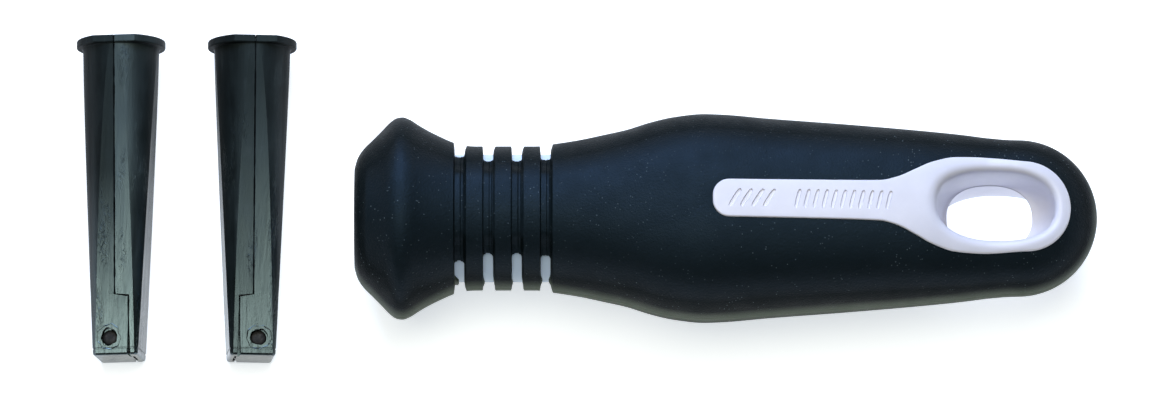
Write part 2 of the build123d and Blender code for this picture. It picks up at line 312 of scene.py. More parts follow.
def make_rubber_grip():
    """The over-mould's skin as one sheet from the mouth's recess to the tip, then thickened."""
    front = np.concatenate([np.arange(0.0, 2.0, 0.16), np.arange(2.0, FINE_START, 0.4)])
    neck = np.arange(FINE_START, FINE_END, 0.11)
    grip = np.arange(FINE_END, TIP_START, 0.8)
    turns = np.radians(np.linspace(0, 88.5, 44))
    tip = TIP_START + (HANDLE_LENGTH - TIP_START) * np.sin(turns)
    xs = np.concatenate([front, neck, grip, tip])

    by_seam = np.radians(np.array([-1.6, -1.1, -0.7, -0.35, 0, 0.35, 0.7, 1.1, 1.6]))
    quarter = np.radians(np.arange(2.5, 90.0, 1.25))
    upper = np.concatenate([by_seam, quarter, [math.pi / 2], np.pi - quarter[::-1]])
    angles = np.concatenate([upper, upper + np.pi])
    columns = len(angles)

    rows = []
    for depth in (RECESS_DEPTH + 0.6, RECESS_DEPTH, 0.6, 0.25):
        ring = superellipse(RECESS_RADIUS, RECESS_RADIUS, 2.0, angles)
        rows.append(np.column_stack([np.full(columns, depth), ring]))
    ring = superellipse(RECESS_RADIUS + 0.12, RECESS_RADIUS + 0.12, 2.0, angles)
    rows.append(np.column_stack([np.full(columns, 0.06), ring]))

    for x in xs:
        ring = superellipse(half_width(x), half_height(x), body_corner(x), angles)
        radius = np.hypot(ring[:, 0], ring[:, 1])
        elevation = np.arctan2(ring[:, 1], np.abs(ring[:, 0]))
        depth = np.zeros(columns)
        for index, centre in enumerate(GROOVES):
            if abs(x - centre) > 3.0:
                continue
            wall = groove_wall(x, centre)
            beside = smoothstep(66, 50, np.degrees(np.abs(elevation)))
            floor_depth = TOP_GROOVE_DEPTH + (GROOVE_DEPTH - TOP_GROOVE_DEPTH) * beside
            floor = radius - (NECK_RADIUS - floor_depth)
            for near_side in (False, True):
                side = (ring[:, 0] < 0) == near_side
                distance = window_distance(x, elevation, index, near_side)
                mask = 1 - smoothstep(-0.07, 0.07, distance)
                step = inner_groove(x, centre) * smoothstep(0.25, 1.2, distance)
                ring_depth = wall * floor + step * LEDGE_DEPTH
                opened = ring_depth * (1 - mask) + (radius - NECK_RADIUS + WINDOW_DEPTH) * mask
                depth = np.where(side, np.maximum(depth, opened), depth)
        ridge = PARTING_RIDGE * np.exp(-((ring[:, 1] / 0.1) ** 2)) * (np.abs(ring[:, 0]) > 5)
        if x < 0.5 or x > HANDLE_LENGTH - 1.0:
            ridge = ridge * 0
        scale = (radius - depth + np.where(depth > 0.05, 0, ridge) - PARTING_RIDGE) / radius
        rows.append(np.column_stack([np.full(columns, x), ring * scale[:, None]]))

    points = np.concatenate(rows)
    faces = loft_faces(len(rows), columns)
    last = (len(rows) - 1) * columns
    faces.append(tuple(last + c for c in range(columns)))
    centres = np.array([points[list(face)].mean(axis=0) for face in faces])
    hidden = inside_outline(centres[:, :2], inset=1.2)
    faces = [face for face, gone in zip(faces, hidden) if not gone]
    skin = new_object("grip_rubber_skin", handle_to_world(points), faces)
    thick = skin.modifiers.new("thickness", "SOLIDIFY")
    thick.thickness = SKIN_THICKNESS * MM
    thick.offset = -1
    apply_modifiers(skin)
    recalculate(skin, 40.0)
    return skin


# ---------------------------------------------------------------- the strip and hang ring

STRIP_START = 61.1
STRIP_HALF = 3.3
STRIP_CORNER = 2.8
FLARE_START = 89.5
FLARE_END = 102.5
RING_HALF = 8.45
RING_END_RADIUS = 7.8
RING_TIP = 122.2
TRIM_RISE = 0.22
HOLE_POINTS = 120
# The hang hole at its waist and at its mouth: (centre, half-length, half-width, corner)
WAIST = (108.5, 7.3, 5.75, 2.35)
MOUTH = (109.4, 10.1, 6.0, 2.4)

flare_edge = smooth_curve(
    (
        (STRIP_START, STRIP_HALF), (80.0, STRIP_HALF + 0.1), (FLARE_START, STRIP_HALF + 0.25),
        (92.5, 4.25), (95.5, 5.7), (98.5, 7.2), (FLARE_END, 8.3), (106.5, RING_HALF),
        (RING_TIP - RING_END_RADIUS, RING_END_RADIUS + 0.1),
    )
)


def trim_edge(x):
    """The strip and ring's half-width in plan, with round corners and a round end."""
    corner = np.clip((STRIP_START + STRIP_CORNER - x) / STRIP_CORNER, 0.0, 1.0)
    rounding = STRIP_CORNER * (1 - np.sqrt(1 - corner**2))
    end_centre = RING_TIP - RING_END_RADIUS
    reach = np.clip((x - end_centre) / RING_END_RADIUS, 0.0, 1.0)
    end = (RING_END_RADIUS + 0.1) * np.sqrt(np.clip(1 - reach**2, 0.0, 1.0))
    return np.where(x > end_centre, end, flare_edge(x) - rounding)


def trim_outline():
    """The outline as a closed loop of points, evenly spaced, anticlockwise seen from above."""
    corner = STRIP_START + STRIP_CORNER * (1 - np.cos(np.linspace(0, math.pi / 2, 12)))
    straight = np.arange(STRIP_START + STRIP_CORNER + 0.4, RING_TIP - RING_END_RADIUS, 0.45)
    end = RING_TIP - RING_END_RADIUS + RING_END_RADIUS * np.sin(np.linspace(0, math.pi / 2, 36))
    xs = np.concatenate([corner, straight, end])
    half = np.column_stack([xs, trim_edge(xs)])
    loop = np.concatenate([half[:-1][::-1], (half * [1, -1])[:-1]])
    loop = np.concatenate([[half[-1]], loop])
    spacing = np.linalg.norm(np.diff(np.vstack([loop, loop[:1]]), axis=0), axis=1)
    length = np.concatenate([[0], np.cumsum(spacing)])
    count = int(length[-1] / 0.42)
    steps = np.linspace(0, length[-1], count, endpoint=False)
    closed = np.vstack([loop, loop[:1]])
    return np.column_stack([np.interp(steps, length, closed[:, k]) for k in (0, 1)])


def inside_outline(points, inset):
    """True for places in plan that lie inside the strip and ring by more than inset."""
    x = points[:, 0]
    along = (x > STRIP_START + inset) & (x < RING_TIP - inset)
    return along & (np.abs(points[:, 1]) < trim_edge(np.clip(x, STRIP_START, RING_TIP)) - inset)


def inset_loop(loop, distance):
    """A closed anticlockwise loop moved inwards."""
    ahead = np.roll(loop, -1, axis=0) - np.roll(loop, 1, axis=0)
    ahead /= np.linalg.norm(ahead, axis=1)[:, None]
    return loop + np.column_stack([-ahead[:, 1], ahead[:, 0]]) * distance


def hole_loop(hole, grow):
    """The hang hole's outline at its waist or mouth, grown outwards."""
    centre, half_long, half_wide, corner = hole
    angles = np.linspace(0, 2 * math.pi, HOLE_POINTS, endpoint=False)
    return superellipse(half_long + grow, half_wide + grow, corner, angles) + [centre, 0]


def hole_measure(points, hole, grow):
    """Below 1 for places in plan inside the hole's outline, above 1 outside it."""
    centre, half_long, half_wide, corner = hole
    along = np.abs(points[..., 0] - centre) / (half_long + grow)
    across = np.abs(points[..., 1]) / (half_wide + grow)
    return along**corner + across**corner


def bar_loop(centre, length, width, slant, inset):
    """A long thin lozenge with round ends, as an anticlockwise loop."""
    angles = np.linspace(0, 2 * math.pi, 20, endpoint=False)
    loop = superellipse(length / 2 - inset, width / 2 - inset, 3.0, angles)
    c = math.cos(slant)
    s = math.sin(slant)
    return loop @ np.array([[c, s], [-s, c]]) + centre


def emblem_bars():
    """A plain generic mark: four slanted bars, then a row of file-cut dashes."""
    bars = []
    for step in range(4):
        bars.append(((64.9 + step * 1.95, 0.0), 3.7, 0.85, math.radians(58)))
    for step in range(11):
        bars.append(((75.6 + step * 1.55, 0.0), 3.4, 0.72, math.radians(76)))
    return bars


EMBOSS_DEPTH = 0.3
EDGE_ROUNDING = 0.28
RIM_ROUNDING = 1.7
PARTING_DEPTH = 0.45
PARTING_HALF = 0.3


def make_trim_half(side):
    """The strip and ring above the mid-plane (side 1) or below it (side -1), with its hole."""
    outline = trim_outline()
    plan = []
    heights = []
    edges = []

    def add_loop(loop, drop):
        first = len(plan)
        plan.extend(map(tuple, loop))
        tops = top_height(loop[:, 0], loop[:, 1]) + TRIM_RISE - drop
        heights.extend(tops)
        count = len(loop)
        edges.extend((first + i, first + (i + 1) % count) for i in range(count))
        return first

    turns = np.radians([0, 15, 30, 45, 60, 75, 90])
    for turn in turns:
        inset = EDGE_ROUNDING * (1 - math.cos(turn))
        drop = EDGE_ROUNDING * (1 - math.sin(turn))
        start = add_loop(inset_loop(outline, inset), drop)
        if turn == turns[0]:
            outer_start = start
    for turn in turns[::-1]:
        grow = RIM_ROUNDING * (1 - math.cos(turn))
        drop = RIM_ROUNDING * (1 - math.sin(turn))
        rim_start = add_loop(hole_loop(MOUTH, grow), drop)
    if side > 0:
        for centre, length, width, slant in emblem_bars():
            add_loop(bar_loop(centre, length, width, slant, 0.0), 0.0)
            add_loop(bar_loop(centre, length, width, slant, 0.14), EMBOSS_DEPTH)
    step = 0.8
    grid_x, grid_y = np.meshgrid(
        np.arange(STRIP_START, RING_TIP, step), np.arange(-RING_HALF, RING_HALF + step, step)
    )
    grid = np.column_stack([grid_x.ravel(), grid_y.ravel()])
    clear_of_hole = hole_measure(grid, MOUTH, RIM_ROUNDING + 0.4) > 1
    grid = grid[inside_outline(grid, EDGE_ROUNDING + 0.4) & clear_of_hole]
    if side > 0:
        for centre, length, width, slant in emblem_bars():
            offset = grid - centre
            grid = grid[np.hypot(offset[:, 0], offset[:, 1]) > length / 2 + 0.3]
    plan.extend(map(tuple, grid))
    heights.extend(top_height(grid[:, 0], grid[:, 1]) + TRIM_RISE)

    flat, _, triangles, sources, _, _ = delaunay_2d_cdt(
        [Vector(p) for p in plan], edges, [], 0, 1e-6
    )
    height_of = [heights[source[0]] for source in sources]
    place_of = {}
    for index, source in enumerate(sources):
        for original in source:
            place_of[original] = index
    points = [(flat[i][0], flat[i][1], height_of[i]) for i in range(len(flat))]
    kept = []
    for triangle in triangles:
        centre = np.mean([points[i][:2] for i in triangle], axis=0)
        solid = hole_measure(centre, MOUTH, 0.0) >= 0.985
        if solid and inside_outline(centre[None, :], -0.02)[0]:
            kept.append(tuple(triangle))

    # The hole's wall: scooped at the two ends, nearly upright along the two sides
    rim = [place_of[rim_start + i] for i in range(HOLE_POINTS)]
    rim_points = np.array([points[i] for i in rim])
    waist = hole_loop(WAIST, 0.0)
    rows = [rim]

    def add_row(plan_row, height_row):
        first = len(points)
        points.extend((p[0], p[1], z) for p, z in zip(plan_row, height_row))
        rows.append(list(range(first, len(points))))

    for level in np.linspace(0, 1, 15)[1:]:
        scoop = math.sqrt(1 - (1 - level) ** 2)
        fall = 1 - (1 - level) ** 1.15
        narrowing = 1 - math.sqrt(1 - level**2)
        mix = 0.45 * narrowing + 0.55 * (1 - math.cos(level * math.pi / 2))
        above = (rim_points[:, 2] - PARTING_HALF) * (1 - fall * 0.5 - scoop * 0.5)
        add_row(rim_points[:, :2] * (1 - mix) + waist * mix, PARTING_HALF + above)
    # A groove round the hole marks where the core's two halves meet
    add_row(hole_loop(WAIST, PARTING_DEPTH), np.zeros(HOLE_POINTS))
    for a, b in zip(rows[:-1], rows[1:]):
        for i in range(HOLE_POINTS):
            j = (i + 1) % HOLE_POINTS
            kept.append((a[i], a[j], b[j], b[i]))

    # The outer wall goes down to the mid-plane, inside the rubber
    count = len(outline)
    base = []
    for i in range(count):
        base.append(len(points))
        points.append((outline[i, 0], outline[i, 1], 0.0))
    top_ring = [place_of[outer_start + i] for i in range(count)]
    for i in range(count):
        j = (i + 1) % count
        kept.append((top_ring[i], base[i], base[j], top_ring[j]))
    originals = base + rows[-1]
    loops = [Vector(points[i][:2]) for i in originals]
    rims = [(i, (i + 1) % count) for i in range(count)]
    rims += [(count + i, count + (i + 1) % HOLE_POINTS) for i in range(HOLE_POINTS)]
    below, _, triangles, sources, _, _ = delaunay_2d_cdt(loops, rims, [], 0, 1e-6)
    for triangle in triangles:
        centre = np.mean([below[i] for i in triangle], axis=0)
        solid = hole_measure(centre, WAIST, PARTING_DEPTH) >= 0.99
        if solid and inside_outline(centre[None, :], -0.02)[0]:
            kept.append(tuple(originals[sources[i][0]] for i in triangle))

    points = np.array(points) * [1, 1, side]
    return closed_object("trim", handle_to_world(points), kept, 38.0)


# ---------------------------------------------------------------- the core inside the rubber

SOCKET_LENGTH = 56.0
CORE_BODY_END = 95.0
RUBBER_WALL = 2.6
INSERT_LENGTH = 55.4
MOUTH_RADIUS = 6.6
END_RADIUS = 5.2
END_HALF = 3.93
SOCKET_CLEARANCE = 0.1


def body_taper(along, trim):
    """The insert's body at a place along it: its round radius, and half the square that trims it."""
    share = min(along / INSERT_LENGTH, 1.0)
    circle = MOUTH_RADIUS + (END_RADIUS - MOUTH_RADIUS) * share - trim
    half = MOUTH_RADIUS + (END_HALF - MOUTH_RADIUS) * share - trim
    return circle, half


def body_parts(angles, along, trim):
    """The radius by angle of the body's round taper and of its square taper's two pairs of sides."""
    circle, half = body_taper(along, trim)
    upright_sides = half / np.maximum(np.abs(np.cos(angles)), 1e-6)
    level_sides = half / np.maximum(np.abs(np.sin(angles)), 1e-6)
    return circle, upright_sides, level_sides


def socket_outline(angles, along):
    """The radius of the core's tapered socket by angle: the insert's body with softened edges."""
    softness = -30
    total = sum(part**softness for part in body_parts(angles, along, -SOCKET_CLEARANCE))
    return total ** (1 / softness)


def core_radius_outline(x, angles):
    """The core's outside by angle at a place behind the nose."""
    if x < NECK_END + 1.5:
        front = np.interp(x, [1.5, 4.6, 9.5, 13.0], [10.2, 12.4, 12.4, CORE_NECK_RADIUS])
        return superellipse(front, front, 2.0, angles)
    width = max(float(half_width(x)) - RUBBER_WALL, CORE_NECK_RADIUS - 0.1)
    outside = float(half_height(x))
    height = max(outside - RUBBER_WALL, min(CORE_NECK_RADIUS - 0.1, outside - 1))
    return superellipse(width, height, float(body_corner(x)), angles)


def make_core_body(side):
    """Half of the core's barrel with half of the tapered socket, above or below the mid-plane."""
    angles = np.linspace(0, math.pi, 73)
    stations = [RECESS_DEPTH, 1.9, 4.6, 9.5, 13.0, 16.0, 20.0, 25.0, 30.0, 34.0, 38.0, 46.0, 52.0]
    stations += [SOCKET_LENGTH, SOCKET_LENGTH + 0.05, 62.0, 72.0, 84.0, CORE_BODY_END]
    rows = []
    for x in stations:
        outer = core_radius_outline(x, angles)
        bore = socket_outline(angles, x)
        if x == RECESS_DEPTH:
            bore = bore + 0.25
        if x > SOCKET_LENGTH:
            bore = bore * 0.02
        inner = np.column_stack([np.cos(angles) * bore, np.sin(angles) * bore])
        ring = np.concatenate([outer, inner[::-1]])
        rows.append(np.column_stack([np.full(len(ring), x), ring * [1, side]]))
    points = np.concatenate(rows)
    columns = len(rows[0])
    faces = loft_faces(len(rows), columns)
    half = len(angles)
    last = (len(rows) - 1) * columns
    for first in (0, last):
        for i in range(half - 1):
            j = columns - 1 - i
            faces.append((first + i, first + i + 1, first + j - 1, first + j))
    return closed_object("barrel", handle_to_world(points), faces, 30.0)


# ---------------------------------------------------------------- the tang inserts

FLANGE_RADIUS = 7.65
FLANGE_THICKNESS = 1.35
FLANGE_FLAT = 6.72
JOG = INSERT_LENGTH - 10.5
JOG_SLOPE = 0.146
BLOCK_REACH = 2.4
SEAM_HALF_GAP = 0.05
JOG_HALF_GAP = 0.07
JOG_SPREAD = 0.045
BLOCK_SPREAD = 0.042
SEAM_KEY = 0.45
SEAM_BEVEL = 0.1
HINGE_ALONG = INSERT_LENGTH - 3.1
HINGE_ACROSS = 1.0
HINGE_RADIUS = 1.35
PIN_HALF_LENGTH = 3.28
TONGUE_HALF = 1.5
TONGUE_RADIUS = 2.1
LEAST_TURN = 0.02
NYLON_SHARP_ANGLE = 10.0
SLOT_DEPTH = 42.0
# The tang slots: thickness and width at the flange, then at the bottom
SMALL_TANG = (2.9, 7.4, 1.4, 3.2)
LARGE_TANG = (3.9, 9.6, 2.0, 4.2)


class InsertPlace:
    """Where one insert lies: across the seam, up through it, and along it from the flange."""

    def __init__(self, hinge_name):
        hinge = JOINTS[hinge_name]
        pin = np.array(hinge["pos_m"]) / MM
        axis = np.array(hinge["axis"], dtype=float)
        self.side = 1 if axis[2] > 0 else -1
        self.up = axis * self.side / np.linalg.norm(axis)
        level = np.cross([1.0, 0.0, 0.0], self.up)
        self.along = level / np.linalg.norm(level)
        self.across = np.cross(self.up, self.along)
        self.mouth = pin - self.along * HINGE_ALONG + self.across * self.side * HINGE_ACROSS

    def to_world(self, points):
        """(across towards the tongue half, up, along) in millimetres to metres in the frame."""
        points = np.asarray(points, dtype=float)
        placed = self.mouth + points[:, 0:1] * self.side * self.across
        return (placed + points[:, 1:2] * self.up + points[:, 2:3] * self.along) * MM


def flange_outline(angles, trim):
    """Radius of the flange by angle: a disc with two flats, drawn in by trim."""
    s = np.maximum(np.abs(np.sin(angles)), 1e-6)
    return np.minimum(FLANGE_RADIUS - trim, (FLANGE_FLAT - trim) / s)


def insert_outline(angles, along, trim, on_flange):
    """Radius of the insert by angle: its flange, or a round taper trimmed by a square taper."""
    if on_flange:
        return flange_outline(angles, trim)
    circle, upright_sides, level_sides = body_parts(angles, along, trim)
    return np.minimum(circle, np.minimum(upright_sides, level_sides))


def facet_turn(along, trim, on_flange):
    """Half the angle that a flat takes up, at the top and at the side."""
    if on_flange:
        return math.acos((FLANGE_FLAT - trim) / (FLANGE_RADIUS - trim)), LEAST_TURN
    circle, half = body_taper(along, trim)
    turn = max(math.acos(min(half / circle, 1.0)), LEAST_TURN)
    return turn, turn


def arc_angles(edge, top_turn, side_turn, tongue_side):
    """Angles round one half, with points exactly on the edges of its flats."""
    shoulder = math.pi / 2 - top_turn
    if tongue_side:
        stops = [side_turn, min(shoulder, edge), edge]
        counts = [4, 16, 5]
    else:
        stops = [side_turn, shoulder, math.pi - edge]
        counts = [4, 16, 12]
    half = [0.0]
    for stop, count in zip(stops, counts):
        half.extend(np.linspace(half[-1], stop, count + 1)[1:])
    half = np.array(half)
    angles = np.concatenate([-half[:0:-1], half])
    return angles if tongue_side else angles + math.pi


def insert_stations():
    """(along, trim, on the flange, past the jog, slope of the row, is the slot open)."""
    rows = []
    rim = ((0.0, 0.22), (0.06, 0.08), (0.22, 0.0))
    for along, trim in rim:
        rows.append((along, trim, True, 0, 0.0, True))
    for along, trim in rim[::-1]:
        rows.append((FLANGE_THICKNESS - along, trim, True, 0, 0.0, True))
    for along, trim in ((1.36, -0.20), (1.42, -0.10), (1.55, -0.03), (1.8, 0.0)):
        rows.append((along, trim, False, 0, 0.0, True))
    for along in np.arange(3.0, SLOT_DEPTH, 1.0):
        rows.append((along, 0.0, False, 0, 0.0, True))
    rows.append((SLOT_DEPTH, 0.0, False, 0, 0.0, True))
    rows.append((SLOT_DEPTH + 0.02, 0.0, False, 0, 0.0, False))
    rows.append((43.5, 0.0, False, 0, 0.0, False))
    rows.append((JOG, 0.0, False, 0, 1.0, False))
    rows.append((JOG + 0.001, 0.0, False, 1, 1.0, False))
    rows.append((46.4, 0.0, False, 1, 0.5, False))
    for along in (47.5, 49.0, 51.0, 53.0, 54.1):
        rows.append((along, 0.0, False, 1, 0.0, False))
    groove = ((54.17, 0.12), (54.33, 0.12), (54.4, 0.03))
    rounding = ((55.05, 0.04), (55.2, 0.1), (55.32, 0.2), (INSERT_LENGTH, 0.36))
    for along, trim in groove + rounding:
        rows.append((along, trim, False, 1, 0.0, False))
    return rows


def make_insert_half(name, place, tang, tongue_side, seed):
    """One half of an insert: the outline on its side of the seam, the seam face and half a slot."""
    noise = random.Random(seed)
    wobble = [noise.uniform(-0.04, 0.04) for _ in range(80)]
    direction = 1 if tongue_side else -1
    rows = []
    for index, (along, trim, on_flange, jogged, slope, slot_open) in enumerate(insert_stations()):
        gap = SEAM_HALF_GAP + wobble[index] * (0.4 if on_flange else 1.0)
        gap = gap + BLOCK_SPREAD * max(along - HINGE_ALONG + 1.0, 0.0)
        seam = jogged * BLOCK_REACH + gap * direction
        low = 0.0
        high = math.pi
        for _ in range(40):
            middle = (low + high) / 2
            reach = insert_outline(np.array([middle]), along, trim, on_flange)[0] * math.cos(middle)
            if reach > seam:
                low = middle
            else:
                high = middle
        edge = (low + high) / 2
        top_turn, side_turn = facet_turn(along, trim, on_flange)
        angles = arc_angles(edge, top_turn, side_turn, tongue_side)
        radius = insert_outline(angles, along, trim, on_flange)
        arc = np.column_stack([np.cos(angles) * radius, np.sin(angles) * radius])
        arc[[0, -1], 0] += SEAM_BEVEL * direction
        top = arc[-1, 1]
        bottom = arc[0, 1]
        share = min(along / SLOT_DEPTH, 1.0)
        slot_up = (tang[1] + (tang[3] - tang[1]) * share) / 2
        slot_across = (tang[0] + (tang[2] - tang[0]) * share) / 2 * direction
        if not slot_open:
            slot_across = seam + SEAM_KEY * jogged
            slot_up = slot_up + SEAM_HALF_GAP * direction
        slot_up = slot_up * direction
        face = [
            (seam, top - math.copysign(SEAM_BEVEL, top)),
            (seam, slot_up),
            (slot_across, slot_up),
            (slot_across, -slot_up),
            (seam, -slot_up),
            (seam, bottom - math.copysign(SEAM_BEVEL, bottom)),
        ]
        ring = np.concatenate([arc, face])
        jog_gap = JOG_HALF_GAP + JOG_SPREAD * np.clip(ring[:, 0:1], 0.0, BLOCK_REACH + 0.5)
        lengths = along + slope * (JOG_SLOPE * ring[:, 0:1] - jog_gap * direction)
        rows.append(np.concatenate([ring, lengths], axis=1))
    faces = capped_faces(len(rows), len(rows[0]))
    return closed_object(name, place.to_world(np.concatenate(rows)), faces, NYLON_SHARP_ANGLE)


def rod(place, profile, seed=0, count=40):
    """A rod on the hinge's axis; each station is (level, radius, how uneven its outline is)."""
    noise = random.Random(seed)
    angles = np.linspace(0, 2 * math.pi, count, endpoint=False)
    uneven = np.zeros(count)
    for lobes in (2, 3, 5, 8):
        shift = noise.uniform(0, 2 * math.pi)
        uneven = uneven + noise.uniform(0.3, 1.0) * np.cos(lobes * angles + shift) / math.sqrt(lobes)
    rows = []
    for level, radius, wobble in profile:
        reach = radius * (1 + wobble * uneven)
        across = np.cos(angles) * reach - HINGE_ACROSS
        along = np.sin(angles) * reach + HINGE_ALONG
        rows.append(np.column_stack([across, np.full(count, level), along]))
    return closed_object("rod", place.to_world(np.concatenate(rows)), capped_faces(len(rows), count), 50.0)


def mirrored(*half):
    """A rod's whole profile from the stations of its upper half, the outermost first."""
    return [(-level, radius, wobble) for level, radius, wobble in half] + list(half[::-1])


def pin_profile():
    """The hinge pin: a rounded rim and a slightly domed end, twice."""
    return mirrored(
        (PIN_HALF_LENGTH + 0.07, HINGE_RADIUS * 0.5, 0.0),
        (PIN_HALF_LENGTH, HINGE_RADIUS - 0.22, 0.0),
        (PIN_HALF_LENGTH - 0.22, HINGE_RADIUS, 0.0),
    )


def crater_profile(facet):
    """A bore for the pin that opens into an uneven crater near each face."""
    step = facet - 1.2
    return mirrored(
        (6.0, HINGE_RADIUS + 0.14, 0.13),
        (step, HINGE_RADIUS + 0.14, 0.13),
        (step - 0.02, HINGE_RADIUS + 0.05, 0.0),
    )


def smeared_ring(place, level, seed, count=72):
    """A thin uneven ridge of smeared plastic lying on a flat round the pin."""
    noise = random.Random(seed)
    angles = np.linspace(0, 2 * math.pi, count, endpoint=False)
    radius = np.full(count, HINGE_RADIUS + 0.72)
    thick = np.full(count, 0.07)
    for lobes in (2, 3, 4, 7, 9):
        radius = radius + noise.uniform(0.03, 0.09) * np.cos(lobes * angles + noise.uniform(0, 6))
        thick = thick + noise.uniform(0.005, 0.02) * np.cos(lobes * angles + noise.uniform(0, 6))
    slope = (MOUTH_RADIUS - END_HALF) / INSERT_LENGTH
    sides = 8
    rows = []
    for turn in np.linspace(0, 2 * math.pi, sides, endpoint=False):
        reach = radius + thick * math.cos(turn)
        along = np.sin(angles) * reach
        height = level - along * slope + thick * math.sin(turn)
        rows.append(np.column_stack([np.cos(angles) * reach - HINGE_ACROSS, height, along + HINGE_ALONG]))
    faces = [tuple(i % (sides * count) for i in face) for face in loft_faces(sides + 1, count)]
    return closed_object("ring", place.to_world(np.concatenate(rows)), faces, 60.0)


def tongue(place, grow, swing):
    """The hinge tongue: an eye round the pin and a bar out to the tongue half's side strip."""
    radius = TONGUE_RADIUS + grow
    turns = np.linspace(math.pi / 2, 3 * math.pi / 2, 25)
    loop = np.column_stack([np.cos(turns) * radius - HINGE_ACROSS, np.sin(turns) * radius])
    reach = BLOCK_REACH + 1.1
    bar = [[reach, -radius], [reach, radius + swing], [-HINGE_ACROSS, radius + swing]]
    loop = np.concatenate([loop, bar])
    loop[:, 1] += HINGE_ALONG
    half = TONGUE_HALF + grow
    low = np.column_stack([loop[:, 0], np.full(len(loop), -half), loop[:, 1]])
    points = np.concatenate([low, low * [1, -1, 1]])
    return closed_object("tongue", place.to_world(points), capped_faces(2, len(loop)), 40.0)


def make_insert(name, tang, seed):
    """An insert's three pieces: tongue half, clevis half and hinge pin."""
    place = InsertPlace(name + "_hinge")
    tongue_half = make_insert_half(name + "_tongue_side", place, tang, True, seed)
    cut(tongue_half, tongue(place, 0.0, 0.0), "UNION")
    cut(tongue_half, rod(place, mirrored((3.0, HINGE_RADIUS + 0.06, 0.0))))
    clevis_half = make_insert_half(name + "_clevis_side", place, tang, False, seed)
    cut(clevis_half, tongue(place, 0.12, 0.3))
    facet = body_taper(HINGE_ALONG, 0.0)[1]
    cut(clevis_half, rod(place, crater_profile(facet), seed))
    clevis_half = join(name + "_clevis_side", [clevis_half, smeared_ring(place, facet, seed)])
    pin = rod(place, pin_profile())
    pin.name = name + "_pin"
    for piece in (tongue_half, clevis_half):
        recalculate(piece, NYLON_SHARP_ANGLE)
    return tongue_half, clevis_half, pin


# ---------------------------------------------------------------- materials


class Material:
    """A node material with a few shorthand calls. Lengths are in metres, in the object's own space."""

    def __init__(self, name):
        self.material = bpy.data.materials.new(name)
        self.material.use_nodes = True
        self.nodes = self.material.node_tree.nodes
        self.links = self.material.node_tree.links
        self.shader = self.nodes["Principled BSDF"]
        self.place = self.nodes.new("ShaderNodeTexCoord").outputs["Object"]

    def feed(self, value, socket):
        """Gives a socket a constant or another node's output."""
        if isinstance(value, bpy.types.NodeSocket):
            self.links.new(value, socket)
        else:
            socket.default_value = value

    def set(self, **values):
        for key, value in values.items():
            self.feed(value, self.shader.inputs[key.replace("_", " ")])

    def axis(self, letter):
        """One coordinate of the place in the object's own space."""
        node = self.nodes.new("ShaderNodeSeparateXYZ")
        self.feed(self.place, node.inputs["Vector"])
        return node.outputs[letter]

    def grazing(self, low, high, new_low, new_high):
        """A value that changes as the surface turns edge-on."""
        node = self.nodes.new("ShaderNodeLayerWeight")
        node.inputs["Blend"].default_value = 0.5
        return self.span(node.outputs["Facing"], low, high, new_low, new_high)

    def stretched(self, scale):
        mapping = self.nodes.new("ShaderNodeMapping")
        mapping.inputs["Scale"].default_value = scale
        self.feed(self.place, mapping.inputs["Vector"])
        return mapping.outputs["Vector"]

    def noise(self, scale, detail=3.0, roughness=0.55, vector=None, distortion=0.0):
        node = self.nodes.new("ShaderNodeTexNoise")
        node.inputs["Scale"].default_value = scale
        node.inputs["Detail"].default_value = detail
        node.inputs["Roughness"].default_value = roughness
        node.inputs["Distortion"].default_value = distortion
        self.feed(vector or self.place, node.inputs["Vector"])
        return node.outputs["Fac"]

    def cells(self, scale):
        node = self.nodes.new("ShaderNodeTexVoronoi")
        node.inputs["Scale"].default_value = scale
        self.feed(self.place, node.inputs["Vector"])
        return node.outputs["Distance"]

    def ramp(self, value, *stops):
        node = self.nodes.new("ShaderNodeValToRGB")
        elements = node.color_ramp.elements
        while len(elements) < len(stops):
            elements.new(0.5)
        for element, (place, colour) in zip(elements, stops):
            element.position = place
            element.color = (*colour, 1.0)
        self.feed(value, node.inputs["Fac"])
        return node.outputs["Color"]

    def span(self, value, low, high, new_low, new_high):
        node = self.nodes.new("ShaderNodeMapRange")
        node.clamp = True
        for key, number in (("From Min", low), ("From Max", high), ("To Min", new_low), ("To Max", new_high)):
            node.inputs[key].default_value = number
        self.feed(value, node.inputs["Value"])
        return node.outputs["Result"]

    def math(self, operation, a, b):
        node = self.nodes.new("ShaderNodeMath")
        node.operation = operation
        self.feed(a, node.inputs[0])
        self.feed(b, node.inputs[1])
        return node.outputs["Value"]

    def mix(self, factor, a, b):
        node = self.nodes.new("ShaderNodeMix")
        node.data_type = "RGBA"
        sockets = {s.identifier: s for s in node.inputs}
        for key, value in (("Factor_Float", factor), ("A_Color", a), ("B_Color", b)):
            self.feed((*value, 1.0) if isinstance(value, tuple) else value, sockets[key])
        return {s.identifier: s for s in node.outputs}["Result_Color"]

    def bump(self, *layers):
        """Each layer is (height, distance in metres, strength)."""
        normal = None
        for height, distance, strength in layers:
            node = self.nodes.new("ShaderNodeBump")
            node.inputs["Distance"].default_value = distance
            node.inputs["Strength"].default_value = strength
            self.feed(height, node.inputs["Height"])
            if normal is not None:
                self.feed(normal, node.inputs["Normal"])
            normal = node.outputs["Normal"]
        self.set(Normal=normal)


def dust(look, scale, size, keep):
    """1 on scattered specks: small spots in some of the cells of a sparse pattern."""
    spots = look.span(look.cells(scale), size * 0.5, size, 1.0, 0.0)
    some = look.span(look.noise(scale * 0.37, 1.0), keep, keep + 0.02, 0.0, 1.0)
    return look.math("MULTIPLY", spots, some)


